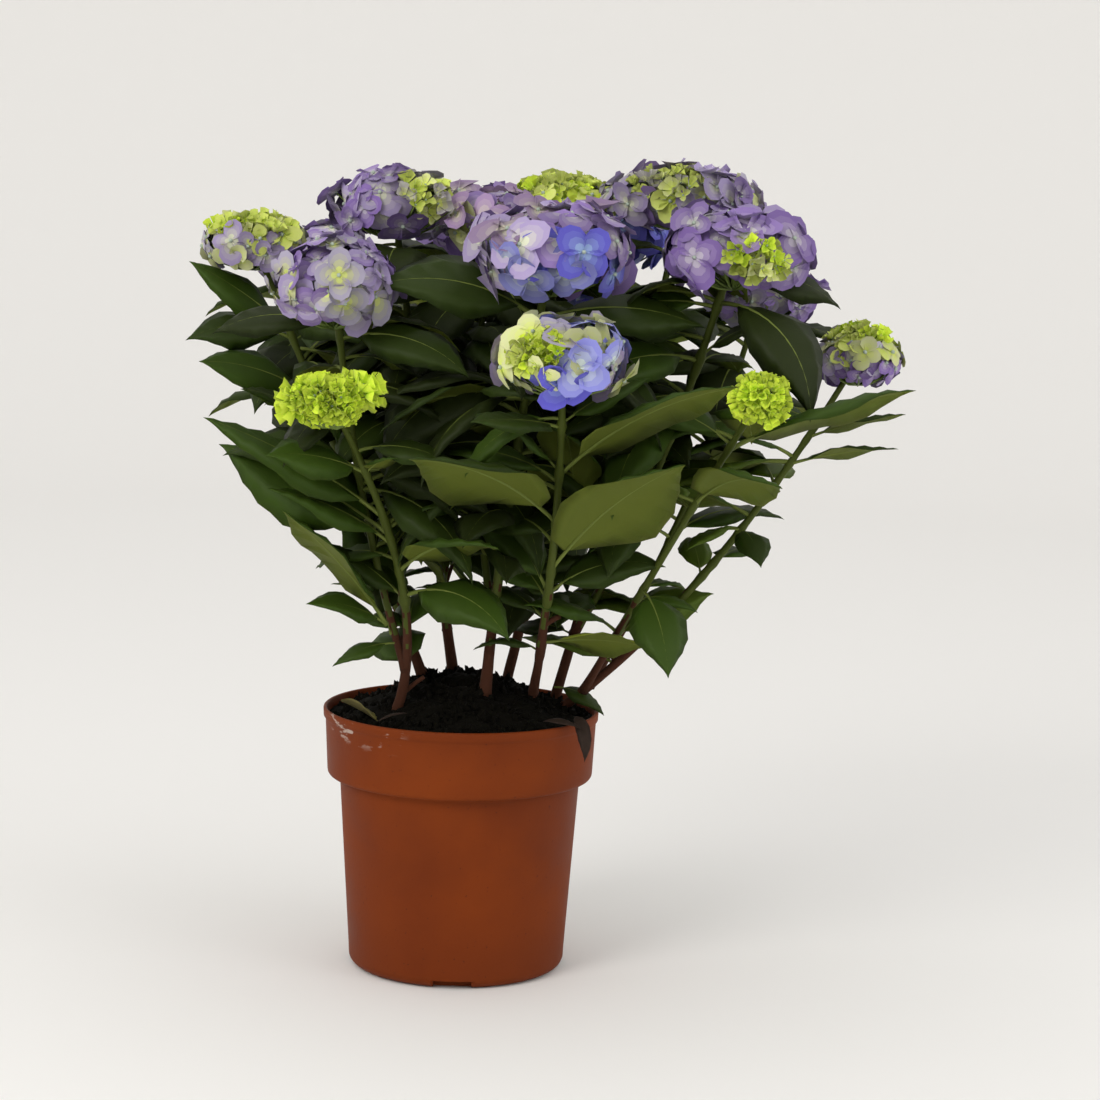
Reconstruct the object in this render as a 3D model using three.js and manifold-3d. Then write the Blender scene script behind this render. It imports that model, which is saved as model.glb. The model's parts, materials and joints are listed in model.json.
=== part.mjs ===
// A potted hydrangea: eight woody stems and ten green boughs rise from the soil of a nursery pot. Each limb
// carries pairs of broad leaves and ends in a domed bloom. Millimetres, +Z up, the origin at the centre of
// the pot's underside, and -Y towards the front of the plant.
import * as THREE from "three";
import { mergeVertices } from "three/addons/utils/BufferGeometryUtils.js";
import Module from "manifold-3d";

const wasm = await Module();
wasm.setup();

// Driving dimensions.
const potHeight = 180;
const rimRadius = 95;
const bandBottom = 133; // height at which the collar ends
const collarRadius = 91.5; // outer radius near the collar's lower edge
const bodyTopRadius = 82.8;
const bodyFootRadius = 74.8;
const potSides = 24;
const footCorner = 7; // rounding between the wall and the underside
const wall = 2.6;
const floorThickness = 3;
const drainSlot = { count: 4, width: 26, height: 5.5, depth: 18 };
const soilEdge = 174; // height of the soil against the wall
const soilMound = 27; // how much higher the mound stands
const gap = 0.35; // left between touching pieces
const footFlare = 1.45; // how much thicker a stem is where it leaves the soil
const leafWidth = 0.55; // of a leaf's length
const leafThickness = 0.1; // of its length, as the stand-in for a curled blade and its petiole
const coreRadius = 9; // of the short leaves and petioles close round a limb

const black = new THREE.Color(0x14110e);
const look = (color, roughness) => new THREE.MeshStandardMaterial({ color, roughness, metalness: 0 });
const materials = {
  pot: look(0x8a4a2b, 0.55),
  soil: look(black, 0.95),
  bark: look(0x5a3a22, 0.85),
  greenStem: look(0x4c6128, 0.6),
  foliage: look(0x33471f, 0.55),
  bloom: look(0x7f77b8, 0.7),
  bud: look(0x9fb53c, 0.7),
};

// ---- The plant's plan. foot and tip are the limb's ends, knee is what its curve bends towards. A bough's
// foot is a share of the way along its parent instead. bloom is [width, height]. A leaf is [place along the
// limb, compass turn from +X, length, rise at its base, droop to its tip, roll], angles in degrees. Where
// leaves is a number it is that many pairs, each a quarter turn on from the last, starting at turn.
const limbs = {
  left_front: {
    foot: [-45, -35], knee: [-14, -62, 263], tip: [-83, -160, 400],
    thick: [3.7, 2.1], bloom: [64, 42],
    bud: true,
    leaves: [
      [0.46, -38, 100, 26, 76, 27], [0.54, -52, 116, 36, 44, -14], [0.7, -178, 134, 38, 20, -12],
      [0.65, 161, 135, 33, 20, -33], [0.62, -158, 96, 40, 32, -11], [0.82, -143, 78, 26, 30, -32],
      [0.82, -57, 44, 38, 40, -5], [0.45, 176, 66, 46, 24, -22], [0.68, 38, 96, 30, 40, 16],
      [0.44, 120, 80, 30, 34, 0],
    ],
  },
  left: {
    foot: [-24, 12], knee: [-78, 12, 330], tip: [-150, 20, 490],
    thick: [3.8, 2.1], bloom: [84, 46],
    leaves: [
      [0.82, -157, 86, 41, 16, -37], [0.8, -166, 78, 30, 62, -44], [0.67, -143, 100, 34, 34, -40],
      [0.58, -126, 106, 40, 34, -24], [0.86, -42, 96, 14, 54, 22], [0.72, 64, 104, 20, 50, 4],
      [0.48, -70, 88, 26, 50, 7],
    ],
  },
  left_mid: {
    foot: [-6, 34], knee: [-30, 10, 360], tip: [-54, -20, 517],
    thick: [3.8, 2.1], bloom: [96, 56],
    leaves: 2, turn: 80, leafLength: 108,
  },
  front: {
    foot: [16, -28], knee: [28, -62, 340], tip: [54, -128, 492],
    thick: [4.1, 2.4], bloom: [116, 76],
    leaves: [
      [0.86, -168, 116, 38, 56, -39], [0.86, 8, 112, 20, 44, 30], [0.72, -166, 118, 14, 84, -43],
      [0.73, -14, 104, 20, 70, 33], [0.72, 84, 96, 20, 50, 0], [0.58, -150, 108, 22, 66, -31],
      [0.57, 24, 100, 24, 60, 31], [0.44, -110, 84, 20, 60, 0], [0.8, -96, 70, 0, 50, 0],
    ],
  },
  front_low: {
    foot: [48, -2], knee: [66, -116, 311], tip: [61, -186, 430],
    thick: [3.4, 2.1], bloom: [96, 62],
    leaves: [
      [0.69, -30, 144, 44, 34, -16], [0.42, -52, 158, 45, 26, -12], [0.56, -134, 142, 37, 34, 14],
      [0.7, -166, 62, 50, 24, -10], [0.82, -135, 80, 14, 18, -11], [0.83, 19, 66, 38, 24, 9],
      [0.35, 144, 100, 60, 24, -24], [0.33, 124, 72, 39, 24, -11], [0.35, 2, 84, 44, 60, 40],
      [0.56, 44, 96, 26, 44, 14], [0.2, -14, 76, 14, 26, -12], [0.17, -170, 50, 42, 80, 0],
    ],
  },
  right_top: {
    foot: [62, 26], knee: [108, 12, 345], tip: [146, 22, 526],
    thick: [3.8, 2.1], bloom: [118, 54],
    leaves: 3, turn: 30, leafLength: 108,
  },
  right_low: {
    foot: [63, 8], knee: [168, -34, 262], tip: [264, -2, 424],
    thick: [3.5, 2], bloom: [66, 48],
    leaves: [
      [0.83, -17, 70, 25, 18, -13], [0.77, -22, 78, 20, 18, -14], [0.61, -130, 62, 11, 40, 13],
      [0.61, -73, 48, 3, 60, 6], [0.48, 99, 56, 53, 60, 0], [0.86, 150, 74, 26, 34, -9],
      [0.72, 95, 88, 22, 40, 0], [0.52, 60, 80, 18, 40, 0],
    ],
  },
  back: {
    foot: [28, 48], knee: [62, 92, 335], tip: [98, 132, 498],
    thick: [3.8, 2.1], bloom: [100, 62],
    leaves: 3, turn: 75, leafLength: 114,
  },
  left_high: {
    parent: "left_front", foot: 0.2, knee: [-72, -78, 330], tip: [-81, -118, 466],
    thick: [2.8, 2.1], bloom: [92, 72],
    leaves: [
      [0.9, 173, 88, 26, 60, -34], [0.88, -16, 96, 18, 64, 33], [0.72, -120, 84, 4, 60, -5],
      [0.56, 170, 96, 30, 54, -30], [0.55, -8, 100, 20, 74, 38],
    ],
  },
  left_back: {
    parent: "left", foot: 0.2, knee: [-82, 84, 330], tip: [-112, 112, 476],
    thick: [2.8, 2.1], bloom: [92, 58],
    leaves: 3, turn: 160, leafLength: 110,
  },
  mid_back: {
    parent: "left_mid", foot: 0.22, knee: [2, 84, 350], tip: [0, 112, 506],
    thick: [2.8, 2.1], bloom: [96, 58],
    leaves: 2, turn: 10, leafLength: 102,
  },
  back_left: {
    parent: "left_mid", foot: 0.12, knee: [-26, 130, 290], tip: [-54, 182, 430],
    thick: [2.8, 2], bloom: [84, 58],
    leaves: 3, turn: 125, leafLength: 106,
  },
  centre: {
    parent: "front", foot: 0.2, knee: [-2, -4, 360], tip: [12, -22, 509],
    thick: [2.8, 2.1], bloom: [70, 52],
    leaves: 2, turn: 100, leafLength: 92,
  },
  right_front: {
    parent: "right_top", foot: 0.16, knee: [134, -62, 345], tip: [170, -86, 494],
    thick: [3.1, 2.4], bloom: [108, 66],
    leaves: [
      [0.89, -39, 118, 4, 96, 16], [0.93, 10, 86, 24, 70, 26], [0.77, -22, 66, 45, 44, 24],
      [0.76, -150, 112, 16, 60, -31], [0.88, 172, 98, 14, 50, -30], [0.74, 70, 104, 20, 50, 0],
      [0.58, 30, 86, 24, 50, 17], [0.6, -126, 84, 18, 60, -12], [0.44, 150, 86, 22, 50, 0],
    ],
  },
  mid_top: {
    parent: "back", foot: 0.2, knee: [50, 56, 370], tip: [60, 58, 520],
    thick: [2.8, 2.1], bloom: [88, 48],
    bud: true,
    leaves: 2, turn: 20, leafLength: 94,
  },
  right_bud: {
    parent: "right_low", foot: 0.1, knee: [150, -112, 338], tip: [188, -150, 408],
    thick: [2.7, 2], bloom: [40, 38],
    bud: true,
    leaves: [
      [0.78, 9, 130, 29, 22, -22], [0.58, -60, 106, 37, 50, -22], [0.3, -72, 78, -10, 66, 9],
      [0.27, -12, 44, 21, 60, 20], [0.8, 150, 84, 36, 40, -17], [0.56, 120, 84, 28, 44, -5],
      [0.3, 60, 60, 14, 40, 0], [0.17, -150, 80, 42, 50, -17], [0.14, 20, 84, 48, 50, 19],
    ],
  },
  right_back: {
    parent: "right_low", foot: 0.12, knee: [164, 84, 310], tip: [204, 104, 458],
    thick: [2.8, 2], bloom: [88, 56],
    leaves: 3, turn: 35, leafLength: 106,
  },
  back_low: {
    parent: "back", foot: 0.12, knee: [56, 134, 280], tip: [80, 198, 436],
    thick: [2.8, 2], bloom: [86, 58],
    leaves: 3, turn: 60, leafLength: 106,
  },
};
const lowLeft = {
  parent: "left_front", at: 0.2, reach: [-12, -22, 34],
  leaves: [
    [1, -142, 118, 54, 20, 2], [1, -146, 66, 18, 20, 0], [0.6, -164, 46, -20, 30, 0],
    [0.8, 100, 60, 20, 30, 0],
  ],
};

const vector = (a) => new THREE.Vector3(...a);
const turned = (degrees) => THREE.MathUtils.degToRad(degrees);

// The soil's surface: a broad mound a little behind the middle, with clods.
function soilTop(x, y) {
  const out = Math.min(1, Math.hypot(x, y) / (collarRadius - 6));
  const clods = 2 * Math.sin(x / 7 + 1) * Math.cos(y / 9) * (1 - out);
  return soilEdge + soilMound * Math.cos((out * Math.PI) / 2) ** 1.2 + 0.05 * y * (1 - out) + clods;
}

// A closed solid along a curve: a lathe's turned profile, whose height is the share of the curve, carried
// onto it. across gives the directions and scales of the section at a share of the curve.
function carried(curve, profile, sides, across) {
  const outline = profile.map(([r, t]) => new THREE.Vector2(r, t));
  const shape = new THREE.LatheGeometry(outline, sides);
  const place = shape.getAttribute("position");
  for (let i = 0; i < place.count; i++) {
    const share = place.getY(i);
    const { side, up } = across(share);
    const at = curve.getPoint(share).addScaledVector(side, place.getX(i)).addScaledVector(up, place.getZ(i));
    place.setXYZ(i, at.x, at.y, at.z);
  }
  return shape;
}

// The closed mesh as a solid for joining and cutting.
function solid(geometry) {
  const bare = geometry.index ? geometry.toNonIndexed() : geometry.clone();
  bare.deleteAttribute("normal");
  bare.deleteAttribute("uv");
  const merged = mergeVertices(bare, 1e-3);
  return new wasm.Manifold(new wasm.Mesh({
    numProp: 3,
    vertProperties: merged.getAttribute("position").array,
    triVerts: new Uint32Array(merged.index.array),
  }));
}

// The largest body of a solid, which drops the crumbs that cutting leaves.
const largest = (s) => s.decompose().sort((a, b) => b.volume() - a.volume())[0];

function meshOf(name, s, material) {
  const { numProp, vertProperties, triVerts } = s.getMesh();
  const places = new Float32Array((vertProperties.length / numProp) * 3);
  for (let i = 0; i < places.length / 3; i++) {
    places.set(vertProperties.subarray(i * numProp, i * numProp + 3), i * 3);
  }
  const geometry = new THREE.BufferGeometry();
  geometry.setAttribute("position", new THREE.BufferAttribute(places, 3));
  geometry.setIndex(new THREE.BufferAttribute(triVerts, 1));
  const mesh = new THREE.Mesh(geometry, material);
  mesh.name = name;
  return mesh;
}

// ---- Limbs.
const lines = {};
for (const [name, limb] of Object.entries(limbs)) {
  const [x, y] = limb.parent ? [] : limb.foot;
  const foot = limb.parent
    ? lines[limb.parent].getPoint(limb.foot)
    : new THREE.Vector3(x, y, soilTop(x, y) - 8);
  lines[name] = new THREE.QuadraticBezierCurve3(foot, vector(limb.knee), vector(limb.tip));
}

// A limb's section axes: square to the curve, with no twist because no limb runs along Y.
function squareTo(curve) {
  return (share) => {
    const along = curve.getTangent(share);
    const side = new THREE.Vector3(0, 1, 0).cross(along).normalize();
    return { side, up: new THREE.Vector3().crossVectors(side, along) };
  };
}

function limbSolid(name, grow = 0) {
  const { thick, parent } = limbs[name];
  const profile = [[0, 0]];
  const steps = 3;
  for (let i = 0; i <= steps; i++) {
    const share = i / steps;
    const flare = !parent && i === 0 ? footFlare : 1;
    profile.push([THREE.MathUtils.lerp(thick[0], thick[1], share ** 0.7) * flare + grow, share]);
  }
  profile.push([0, 1]);
  return solid(carried(lines[name], profile, 5, squareTo(lines[name])));
}

// ---- Blooms: a dome on its stalk, flatter beneath, with a few low bumps, that leans as its limb does.
function bloomSolid(name, grow = 0) {
  const [width, height] = limbs[name].bloom;
  const shape = new THREE.SphereGeometry(1, 8, 5);
  const place = shape.getAttribute("position");
  const lean = lines[name].getTangent(1).add(new THREE.Vector3(0, 0, 1.2)).normalize();
  const turn = new THREE.Quaternion().setFromUnitVectors(new THREE.Vector3(0, 1, 0), lean);
  for (let i = 0; i < place.count; i++) {
    const at = new THREE.Vector3().fromBufferAttribute(place, i);
    const round = Math.atan2(at.z, at.x);
    const bump = 1 + 0.06 * Math.sin(3 * round + width) * (1 - at.y * at.y);
    const half = at.y > 0 ? 0.6 * height : 0.4 * height;
    at.set(at.x * ((width / 2) * bump + grow), at.y * (half + grow), at.z * ((width / 2) * bump + grow));
    at.applyQuaternion(turn).add(vector(limbs[name].tip));
    place.setXYZ(i, at.x, at.y, at.z);
  }
  return solid(shape);
}

// ---- Leaves. A leaf's midline is an arc in its compass plane: its slope falls evenly from rise to
// rise - droop.
class LeafLine extends THREE.Curve {
  constructor(from, turn, length, rise, droop) {
    super();
    Object.assign(this, { from, length, turn: turned(turn), rise: turned(rise), droop: turned(droop) });
  }
  getPoint(share, target = new THREE.Vector3()) {
    const { from, turn, length, rise, droop } = this;
    const slope = rise - droop * share;
    const out = (length / droop) * (Math.sin(rise) - Math.sin(slope));
    const up = (length / droop) * (Math.cos(slope) - Math.cos(rise));
    return target.set(from.x + out * Math.cos(turn), from.y + out * Math.sin(turn), from.z + up);
  }
}

// A leaf as a thin blade, keeled below: narrow at its petiole, widest at the middle, pointed at its tip.
function leafSolid(from, [, turn, length, rise, droop, roll], grow) {
  const line = new LeafLine(from, turn, length, rise, droop);
  const across = (share) => {
    const slope = line.rise - line.droop * share;
    const side = new THREE.Vector3(-Math.sin(line.turn), Math.cos(line.turn), 0);
    const along = new THREE.Vector3(Math.cos(slope) * side.y, -Math.cos(slope) * side.x, Math.sin(slope));
    side.applyAxisAngle(along, turned(roll));
    return { side, up: side.clone().cross(along).multiplyScalar(leafThickness / leafWidth) };
  };
  const half = (leafWidth * length) / Math.sqrt(3); // a three-sided section spans root three of its radius
  const wide = (grow * leafWidth) / leafThickness; // so that the thin way grows by the whole gap
  const end = (2 * grow) / length;
  const profile = [[0, -end], [half * 0.24, 0.18], [half, 0.54], [0, 1 + end]];
  return solid(carried(line, profile.map(([r, share]) => [r ? r + wide : 0, share]), 3, across));
}

// The leaves of a limb: those listed, or pairs by rule, longest a little above the middle.
function leavesOf({ leaves, turn, leafLength }) {
  if (Array.isArray(leaves)) return leaves;
  const made = [];
  for (let pair = 0; pair < leaves; pair++) {
    const height = leaves === 1 ? 1 : pair / (leaves - 1);
    const length = leafLength * (0.82 + 0.18 * Math.sin(Math.PI * (0.15 + 0.7 * height)));
    for (const half of [0, 180]) {
      made.push([0.4 + 0.5 * height, turn + 90 * pair + half, length, 40 - 18 * height, 66, 0]);
    }
  }
  return made;
}

// The foliage of a limb: a slim core round it with its leaves standing out.
function foliageSolid(line, leaves, grow = 0) {
  const lowest = Math.min(...leaves.map(([at]) => at));
  const highest = Math.max(...leaves.map(([at]) => at));
  const ends = [Math.max(0, lowest - 0.03 - grow / 40), Math.min(1, highest + 0.03 + grow / 40)];
  const span = (share) => THREE.MathUtils.lerp(...ends, share);
  const part = new THREE.CatmullRomCurve3([0, 0.25, 0.5, 0.75, 1].map((share) => line.getPoint(span(share))));
  const core = [[0, 0], [coreRadius + grow, 0.15], [coreRadius + grow, 0.85], [0, 1]];
  const pieces = [solid(carried(part, core, 4, squareTo(part)))];
  for (const leaf of leaves) pieces.push(leafSolid(line.getPoint(leaf[0]), leaf, grow));
  return wasm.Manifold.union(pieces);
}

// ---- The pot: one turned wall with a collar, and slots cut through the corner of its foot.
function potSolid() {
  const corner = new THREE.Path();
  corner.absarc(bodyFootRadius - footCorner, footCorner, footCorner, -Math.PI / 2, 0, false);
  const outline = [
    new THREE.Vector2(0, 0),
    ...corner.getPoints(2),
    new THREE.Vector2(bodyTopRadius, bandBottom),
    new THREE.Vector2(collarRadius - 3, bandBottom),
    new THREE.Vector2(collarRadius, bandBottom + 5),
    new THREE.Vector2(rimRadius, potHeight),
    new THREE.Vector2(rimRadius - wall, potHeight),
    new THREE.Vector2(collarRadius - wall, bandBottom + 6),
    new THREE.Vector2(bodyTopRadius - wall, bandBottom + 2),
    new THREE.Vector2(bodyFootRadius - wall, footCorner + 2),
    new THREE.Vector2(bodyFootRadius - footCorner, floorThickness),
    new THREE.Vector2(0, floorThickness),
  ];
  let made = solid(new THREE.LatheGeometry(outline, potSides).rotateX(Math.PI / 2));
  for (let i = 0; i < drainSlot.count; i++) {
    const cut = new THREE.BoxGeometry(drainSlot.depth, drainSlot.width, drainSlot.height * 2);
    cut.translate(bodyFootRadius, 0, 0).rotateZ((i / drainSlot.count) * 2 * Math.PI);
    made = made.subtract(solid(cut));
  }
  return made;
}

// The root ball fills the pot inside its wall, under the mound.
function soilSolid() {
  const rings = [0, 0.55, 1];
  const inner = rimRadius - wall - gap - 1;
  const outline = [
    [0, floorThickness + gap],
    [bodyFootRadius - footCorner - gap, floorThickness + gap],
    [bodyFootRadius - wall - gap, footCorner + 2 + gap],
    [bodyTopRadius - wall - gap, bandBottom + 2],
    [collarRadius - wall - gap, bandBottom + 6.5],
    ...rings.reverse().map((share) => [inner * share, soilEdge]),
  ].map(([r, z]) => new THREE.Vector2(r, z));
  const shape = new THREE.LatheGeometry(outline, potSides).rotateX(Math.PI / 2);
  const place = shape.getAttribute("position");
  for (let i = 0; i < place.count; i++) {
    if (place.getZ(i) > soilEdge - 1) place.setZ(i, soilTop(place.getX(i), place.getY(i)));
  }
  return solid(shape);
}

// ---- Assembly.
const plant = new THREE.Group();
const limbNames = Object.keys(limbs);
const pot = potSolid();
const grownLimbs = Object.fromEntries(limbNames.map((name) => [name, limbSolid(name, gap)]));
const grownBlooms = Object.fromEntries(limbNames.map((name) => [name, bloomSolid(name, gap)]));
const allGrownLimbs = wasm.Manifold.union(Object.values(grownLimbs));
const allGrownBlooms = wasm.Manifold.union(Object.values(grownBlooms));
const soil = largest(soilSolid().subtract(allGrownLimbs));
plant.add(meshOf("pot", pot, materials.pot), meshOf("soil", soil, materials.soil));

// A bough gives way to its parent, and each limb stops under its bloom.
for (const name of limbNames) {
  const { parent } = limbs[name];
  let limb = limbSolid(name).subtract(grownBlooms[name]);
  if (parent) limb = limb.subtract(grownLimbs[parent]);
  const kind = parent ? "bough_" : "stem_";
  plant.add(meshOf(kind + name, largest(limb), parent ? materials.greenStem : materials.bark));
}

// Blooms that touch give way to the ones made before them.
let taken = wasm.Manifold.union([soilSolid().translate([0, 0, gap]), allGrownLimbs]);
let grownBefore = null;
for (const name of limbNames) {
  let bloom = bloomSolid(name);
  if (grownBefore) bloom = bloom.subtract(grownBefore);
  for (const other of limbNames) if (other !== name) bloom = bloom.subtract(grownLimbs[other]);
  grownBefore = grownBefore ? grownBefore.add(grownBlooms[name]) : grownBlooms[name];
  plant.add(meshOf("bloom_" + name, largest(bloom), limbs[name].bud ? materials.bud : materials.bloom));
}

// Foliage is cut round limbs and blooms, and round the foliage made before it, from the crown's edge inwards.
taken = taken.add(allGrownBlooms);
const start = lines[lowLeft.parent].getPoint(lowLeft.at);
const lowLine = new THREE.LineCurve3(start, start.clone().add(vector(lowLeft.reach)));
const masses = limbNames.map((name) => [name, lines[name], leavesOf(limbs[name])]);
masses.push(["low_left", lowLine, lowLeft.leaves]);
const reach = ([, line]) => Math.hypot(line.getPoint(1).x, line.getPoint(1).y);
const before = [];
for (const [name, line, leaves] of masses.sort((a, b) => reach(b) - reach(a))) {
  const whole = foliageSolid(line, leaves);
  let mass = whole.subtract(taken).subtract(pot);
  for (const other of before) mass = mass.subtract(other);
  before.push(whole);
  taken = taken.add(foliageSolid(line, leaves, gap));
  plant.add(meshOf("foliage_" + name, largest(mass), materials.foliage));
}

export default plant;
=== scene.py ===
import json
import math

import bpy
import numpy as np
from mathutils import Matrix, Vector

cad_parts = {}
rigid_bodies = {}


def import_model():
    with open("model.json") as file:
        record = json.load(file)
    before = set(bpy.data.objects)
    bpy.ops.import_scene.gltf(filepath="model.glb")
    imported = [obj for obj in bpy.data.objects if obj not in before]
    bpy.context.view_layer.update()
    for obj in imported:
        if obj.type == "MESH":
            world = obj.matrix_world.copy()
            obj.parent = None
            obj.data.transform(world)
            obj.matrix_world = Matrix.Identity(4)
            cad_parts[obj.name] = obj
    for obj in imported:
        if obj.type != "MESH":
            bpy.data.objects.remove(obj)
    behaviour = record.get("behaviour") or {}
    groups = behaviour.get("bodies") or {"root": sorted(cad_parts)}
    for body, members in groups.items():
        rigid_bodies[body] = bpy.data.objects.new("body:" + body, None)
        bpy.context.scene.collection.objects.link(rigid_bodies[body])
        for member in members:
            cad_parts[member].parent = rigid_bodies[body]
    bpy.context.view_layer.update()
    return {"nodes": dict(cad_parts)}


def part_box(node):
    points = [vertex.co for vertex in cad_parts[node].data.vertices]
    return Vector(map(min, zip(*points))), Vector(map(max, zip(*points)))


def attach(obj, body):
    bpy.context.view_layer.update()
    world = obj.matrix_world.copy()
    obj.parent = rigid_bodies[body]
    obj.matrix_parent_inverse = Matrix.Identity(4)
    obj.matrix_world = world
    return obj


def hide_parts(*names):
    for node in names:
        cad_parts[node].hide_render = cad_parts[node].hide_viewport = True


# A potted mophead hydrangea. The plans give lengths in millimetres, and mm makes metres. Angles are in
# degrees for leaves, halfAngle and the camera, and in radians for stubs and for the reaches and turns of
# florets.
mm = 0.001
fullTurn = 6.28  # radians, for random phases
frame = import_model()
nodes = frame["nodes"]
rng = np.random.default_rng(27)
cameraPlan = dict(place=(0.0585, -2.0, 0.5616), pitch=7.71, roll=1.495, lens=96.23)
print("frame:", len(nodes), "nodes")


# Collects grids of points into one mesh. pts is (batch, rows, columns, 3) and each cell is a quad. wrap
# joins the last column to the first and turns the batch to face outwards; caps closes both ends with a fan
# round their mean. The cells of the columns in crossed are split along their other diagonal.
class Gather:
    def __init__(self):
        self.points, self.quads, self.tris = [], [], []
        self.quadSlots, self.triSlots = [], []
        self.count = 0

    def grid(self, pts, slots=0, wrap=False, caps=False, crossed=()):
        pts = np.asarray(pts, float)
        pts = pts[None] if pts.ndim == 3 else pts
        batch, rows, cols, _ = pts.shape
        index = self.count + np.arange(batch * rows * cols).reshape(batch, rows, cols)
        left = index if wrap else index[:, :, :-1]
        right = np.roll(index, -1, axis=2) if wrap else index[:, :, 1:]
        quads = np.stack([left[:, :-1], right[:, :-1], right[:, 1:], left[:, 1:]], axis=-1)
        for column in crossed:
            quads[:, :, column] = np.roll(quads[:, :, column], -1, axis=-1)
        cellSlots = np.broadcast_to(np.asarray(slots), quads.shape[:3])
        quads, flat = quads.reshape(-1, 4), pts.reshape(-1, 3)
        tris, triSlots = np.zeros((0, 3), int), np.zeros(0, int)
        if caps:
            hub = self.count + len(flat) + np.arange(batch * 2).reshape(batch, 2)
            hubs = np.stack([pts[:, 0].mean(1), pts[:, -1].mean(1)], axis=1)
            flat = np.concatenate([flat, hubs.reshape(-1, 3)])
            near, far = (np.broadcast_to(hub[:, k:k + 1], (batch, cols)) for k in (0, 1))
            tris = np.concatenate([np.stack([near, right[:, 0], index[:, 0]], axis=-1).reshape(-1, 3),
                                   np.stack([far, index[:, -1], right[:, -1]], axis=-1).reshape(-1, 3)])
            triSlots = np.concatenate([cellSlots[:, 0].ravel(), cellSlots[:, -1].ravel()])
        if wrap:
            a, b, c, d = (flat[quads[:, k] - self.count] for k in range(4))
            turned = np.cross(b - a, c - a) + np.cross(c - a, d - a)
            if (turned * (a - flat.mean(0))).sum() < 0:
                quads, tris = quads[:, ::-1], tris[:, ::-1]
        self.points.append(flat)
        self.quads.append(quads)
        self.tris.append(tris)
        self.quadSlots.append(cellSlots.ravel())
        self.triSlots.append(triSlots)
        self.count += len(flat)

    def mesh(self, name, finishes):
        quads, tris = np.concatenate(self.quads), np.concatenate(self.tris)
        corners = np.concatenate([quads.ravel(), tris.ravel()])
        starts = np.concatenate([np.arange(len(quads)) * 4, len(quads) * 4 + np.arange(len(tris)) * 3])
        made = bpy.data.meshes.new(name)
        made.vertices.add(self.count)
        made.vertices.foreach_set("co", np.concatenate(self.points).astype(np.float32).ravel())
        made.loops.add(len(corners))
        made.loops.foreach_set("vertex_index", corners.astype(np.int32))
        made.polygons.add(len(starts))
        made.polygons.foreach_set("loop_start", starts.astype(np.int32))
        slots = np.concatenate(self.quadSlots + self.triSlots).astype(np.int32)
        made.polygons.foreach_set("material_index", slots)
        made.polygons.foreach_set("use_smooth", np.ones(len(starts), bool))
        for finish in finishes:
            made.materials.append(finish)
        made.update(calc_edges=True)
        made.validate()
        return made

    # one piece on the root body, which stands for the CAD nodes named in replaced
    def piece(self, name, finishes, replaced=()):
        made = bpy.data.objects.new(name, self.mesh(name, finishes))
        bpy.context.scene.collection.objects.link(made)
        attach(made, "root")
        if replaced:
            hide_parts(*replaced)
        print(f"{name}: {sum(len(q) for q in self.quads) * 2 + sum(len(t) for t in self.tris)} triangles")
        return made


# a piece of one grid; how holds the grid's own settings
def addPiece(name, pts, slots, finishes, slot, replaced=(), **how):
    gather = Gather()
    gather.grid(pts, slots, wrap=True, caps=True, **how)
    return gather.piece(name, finishes, replaced)


def unit(v):
    return v / np.maximum(np.linalg.norm(v, axis=-1, keepdims=True), 1e-12)


# angles in even steps round a circle
def turns(count):
    return np.linspace(0, 2 * np.pi, count, endpoint=False)


# a random value from -reach to reach
def evenly(reach, shape=None):
    return rng.uniform(-reach, reach, shape)


# uneven relief in about -1..1: sums of sines in turned directions, each octave 1.9 times as fine and 0.55
# times as strong as the last
def ripple(x, y, z, seed, octaves=3):
    draw = np.random.default_rng(seed)
    total, size, weight, weights = 0.0, 1.0, 1.0, 0.0
    for _ in range(octaves):
        for _ in range(3):
            a, b, c = draw.normal(size=3)
            total = total + weight * np.sin(size * (a * x + b * y + c * z) + draw.uniform(0, fullTurn)) / 3
        weights += weight
        size, weight = size * 1.9, weight * 0.55
    return total / weights * 1.7


# a colour given as 0..255 display values, as linear light
def srgb(colour, shade=1.0):
    c = np.clip(np.array(colour) * shade / 255, 0, 1)
    return (*np.where(c <= 0.04045, c / 12.92, ((c + 0.055) / 1.055) ** 2.4), 1.0)


# a Principled material with its plain values on the sockets
def finish(name, colour, roughness, subsurface=0.0, sheen=0.0, specular=0.35):
    mat = bpy.data.materials.new(name)
    mat.use_nodes = True
    sockets = mat.node_tree.nodes["Principled BSDF"].inputs
    sockets["Base Color"].default_value = srgb(colour)
    sockets["Roughness"].default_value = roughness
    sockets["Specular IOR Level"].default_value = specular
    if subsurface:
        sockets["Subsurface Weight"].default_value = subsurface
        sockets["Subsurface Radius"].default_value = (0.6, 1.0, 0.35)
        sockets["Subsurface Scale"].default_value = 0.002
    if sheen:
        sockets["Sheen Weight"].default_value = sheen
    return mat


def node(mat, kind, **values):
    made = mat.node_tree.nodes.new(kind)
    for key, value in values.items():
        if key in made.inputs:
            made.inputs[key].default_value = value
        else:
            setattr(made, key, value)
    return made


def link(mat, source, target):
    mat.node_tree.links.new(source, target)


# fine relief from noise on Object coordinates; scale is features per metre and distance is metres
def addBump(mat, scale, strength, distance, detail=3.0):
    place = node(mat, "ShaderNodeTexCoord")
    noise = node(mat, "ShaderNodeTexNoise", Scale=scale, Detail=detail)
    bump = node(mat, "ShaderNodeBump", Strength=strength, Distance=distance)
    link(mat, place.outputs["Object"], noise.inputs["Vector"])
    link(mat, noise.outputs[0], bump.inputs["Height"])
    link(mat, bump.outputs["Normal"], mat.node_tree.nodes["Principled BSDF"].inputs["Normal"])


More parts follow.
